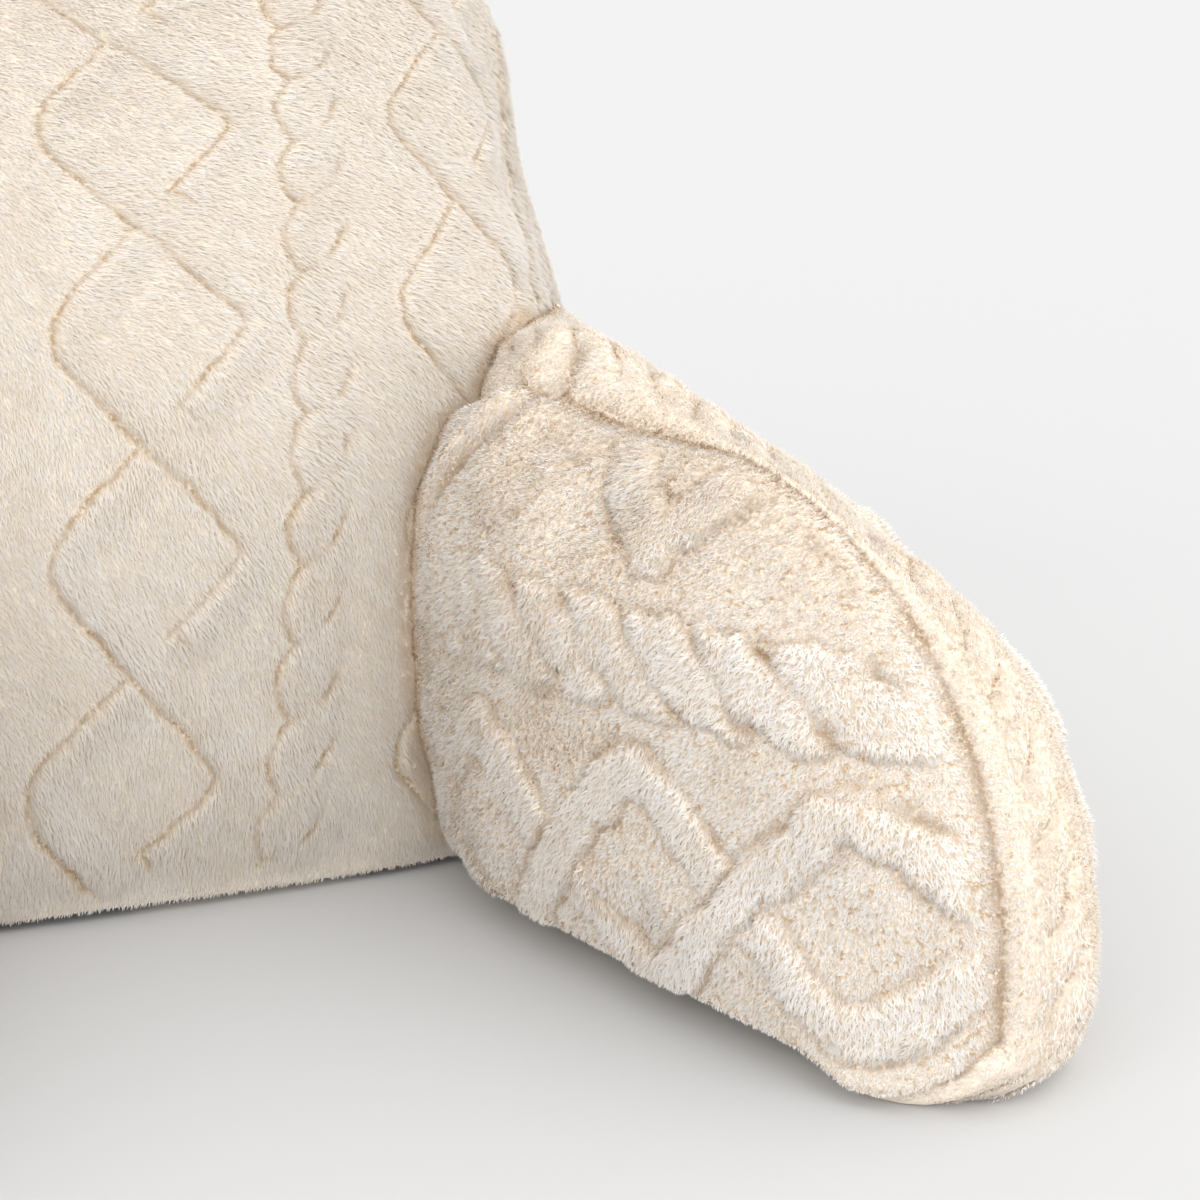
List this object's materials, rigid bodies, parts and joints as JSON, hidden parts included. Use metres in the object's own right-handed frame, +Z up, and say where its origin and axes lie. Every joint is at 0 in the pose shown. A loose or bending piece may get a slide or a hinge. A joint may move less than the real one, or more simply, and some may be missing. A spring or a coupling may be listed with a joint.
{
  "type": "cuddle cushion",
  "caption": "Backrest pillow with arms for sitting up in bed: a leaning filled back and stuffed side arms, in cream plush sculpted with cables and diamonds.",
  "frame": {"origin": "middle of the whole cushion on the surface it stands on", "axes": "+X to the side, from the left arm to the right arm as the sitter has them on facing the cushion; +Y from the arms to the back; +Z up"},
  "size_m": [0.6256, 0.6236, 0.4347],
  "materials": {
    "plush_back": "sculpted short polyester plush, cream, combed nap",
    "plush_arm": "sculpted curly polyester plush, cream"
  },
  "bodies": {
    "root": {"backrest": "plush_back", "arm_left": "plush_arm", "arm_right": "plush_arm"}
  },
  "joints": []
}
